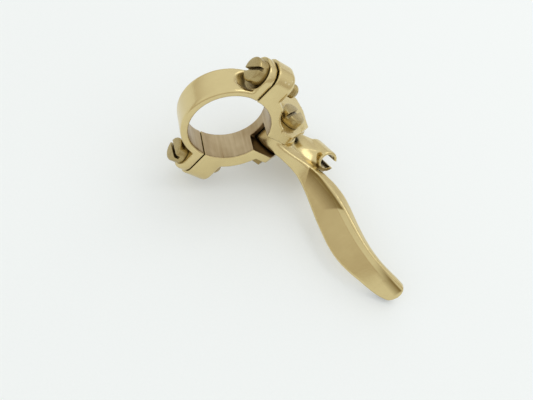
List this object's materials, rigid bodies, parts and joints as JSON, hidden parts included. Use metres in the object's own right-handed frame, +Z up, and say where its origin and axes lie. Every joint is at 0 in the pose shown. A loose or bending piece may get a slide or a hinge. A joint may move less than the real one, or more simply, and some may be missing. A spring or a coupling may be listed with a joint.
{
  "type": "handlebar control lever",
  "caption": "Small polished brass control lever with a two-piece ring clamp for a handlebar, a forked pivot, a curved finger blade and a slotted barrel for a cable end.",
  "frame": {"origin": "centre of the bar bore, midway across the ring's width", "axes": "+X along the handlebar towards the lever's tip side, +Y outward from the bar, +Z up; the lever's plane leans 31 degrees down from level, outward from the bar"},
  "size_m": [0.0605, 0.0627, 0.0506],
  "materials": {
    "cast_brass": "cast and polished, warm yellow with soft buffing marks",
    "turned_brass": "turned, dull and slightly tarnished"
  },
  "bodies": {
    "clamp": {"clamp_body": "cast_brass", "clamp_cap": "cast_brass", "clamp_screw_upper": "turned_brass", "clamp_screw_lower": "turned_brass", "pivot_screw": "turned_brass", "pivot_nut": "turned_brass"},
    "lever": {"lever": "cast_brass"}
  },
  "joints": [
    {"name": "lever_pivot", "type": "hinge", "parent": "clamp", "child": "lever", "pos_m": [-0.0036, 0.01586, -0.00953], "axis": [0, -0.515, -0.8572], "range_deg": [0, 26]}
  ]
}
